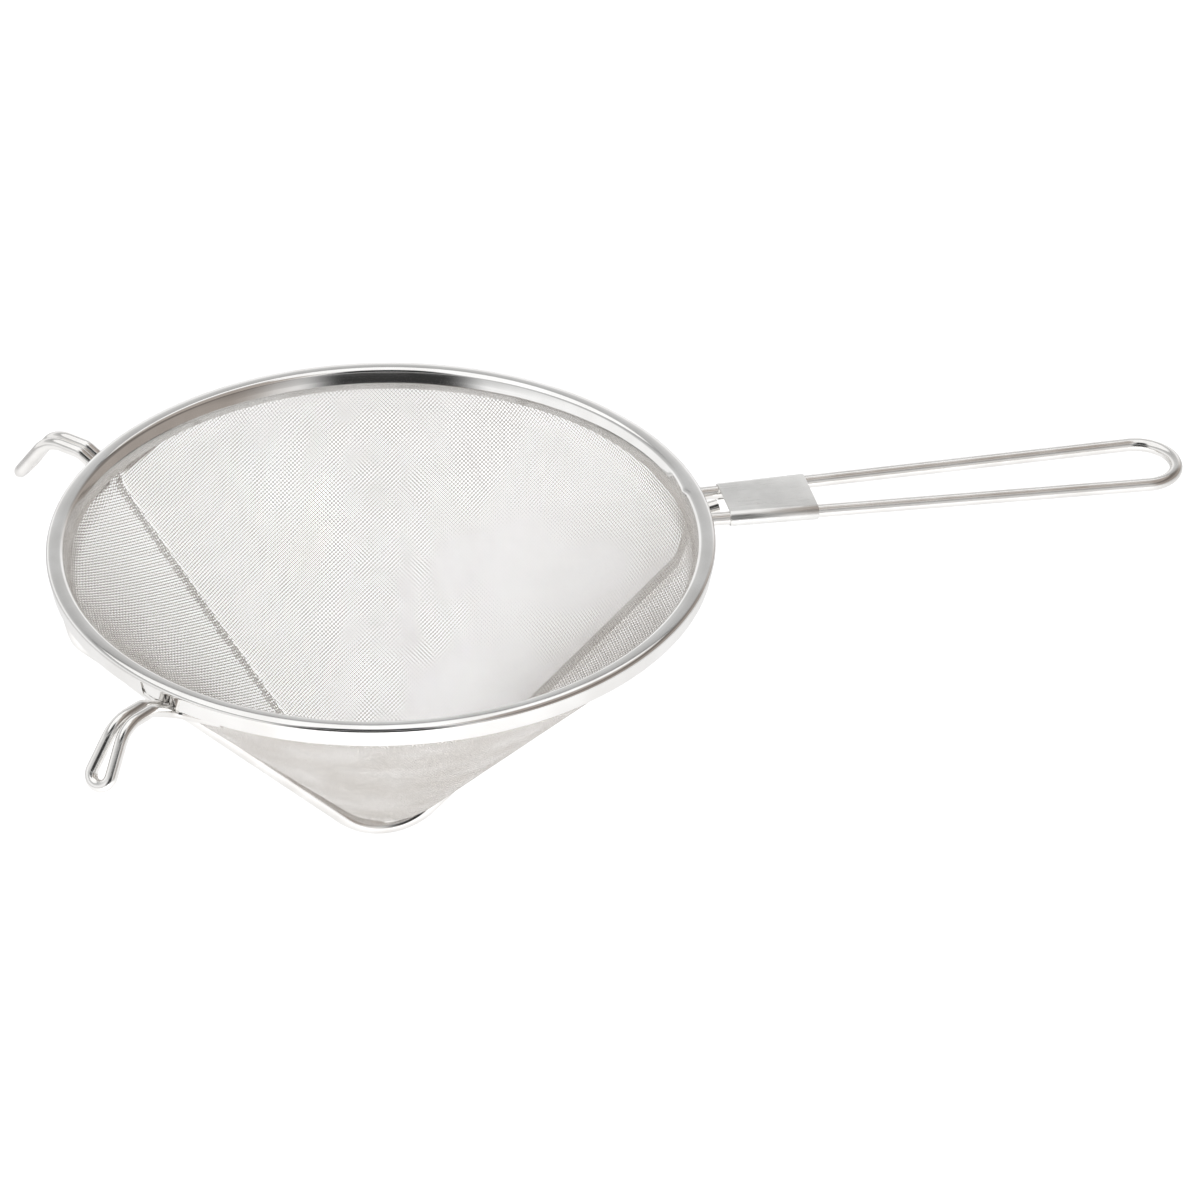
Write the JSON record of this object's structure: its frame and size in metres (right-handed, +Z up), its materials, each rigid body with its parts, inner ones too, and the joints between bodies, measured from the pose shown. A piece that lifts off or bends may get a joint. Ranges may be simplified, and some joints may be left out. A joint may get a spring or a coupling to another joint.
{
  "type": "chinois strainer",
  "caption": "Conical woven mesh strainer with a rolled rim band, a wire guard under the cone, wire rest hooks and a long wire loop handle with a sheet sleeve.",
  "frame": {"origin": "on the cone axis, level with the middle of the rolled rim", "axes": "+X along the handle away from the cone, +Z up out of the open top of the cone"},
  "size_m": [0.3535, 0.2, 0.1082],
  "materials": {
    "polished_band": "polished stainless sheet",
    "woven_mesh": "fine woven stainless wire",
    "polished_wire": "polished stainless round wire",
    "satin_sheet": "satin stainless sheet"
  },
  "bodies": {
    "root": {"rim_band": "polished_band", "mesh_cone": "woven_mesh", "guard_wire": "polished_wire", "front_rest_hook": "polished_wire", "rear_rest_hook": "polished_wire", "handle_wire": "polished_wire", "handle_sleeve": "satin_sheet"}
  },
  "joints": []
}
